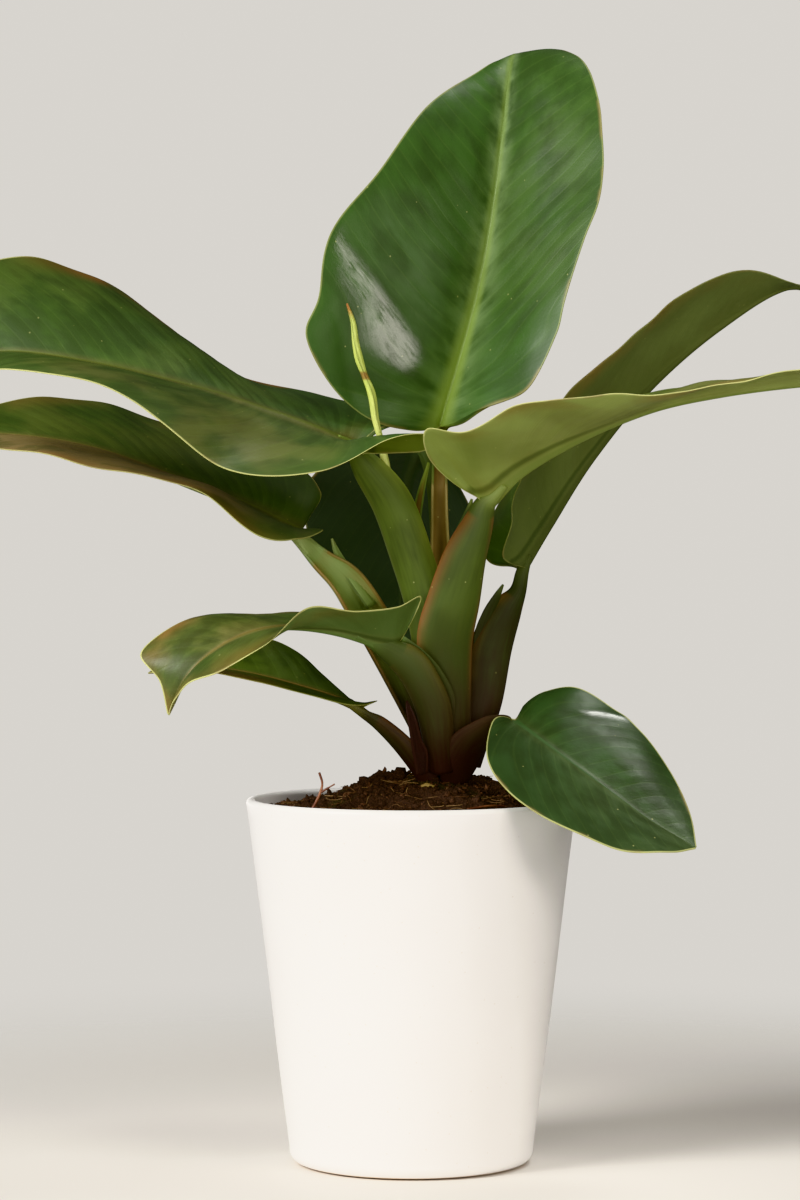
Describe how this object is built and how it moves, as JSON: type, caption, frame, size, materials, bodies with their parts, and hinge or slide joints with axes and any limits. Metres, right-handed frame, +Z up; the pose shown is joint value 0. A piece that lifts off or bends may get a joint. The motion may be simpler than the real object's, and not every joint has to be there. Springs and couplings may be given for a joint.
{
  "type": "potted philodendron",
  "caption": "House plant with broad glossy oblong leaves on sheathed stalks and one rolled new leaf, growing from soil in a plain tapered round ceramic pot with a flat base.",
  "frame": {"origin": "centre of the pot's flat base, on the surface that it stands on", "axes": "+Z up along the pot's axis, the pictured front towards -Y, +X to the right as seen from the front"},
  "size_m": [0.3832, 0.2494, 0.4599],
  "materials": {
    "pot_glaze": "white satin glaze",
    "soil": "dark moist potting mix with bark and fibres",
    "stem": "dark red-brown scarred stem",
    "leaf": "glossy green leaf with a pale margin",
    "new_leaf": "yellow-green rolled leaf"
  },
  "bodies": {
    "root": {"pot": "pot_glaze", "soil": "soil", "stem": "stem", "leaf_small_left": "leaf", "leaf_low_right": "leaf", "leaf_low_left": "leaf", "leaf_front_right": "leaf", "leaf_upper_left": "leaf", "leaf_rear_right": "leaf", "leaf_lower_left": "leaf", "leaf_top": "leaf", "leaf_back": "leaf", "new_leaf": "new_leaf"}
  },
  "joints": []
}
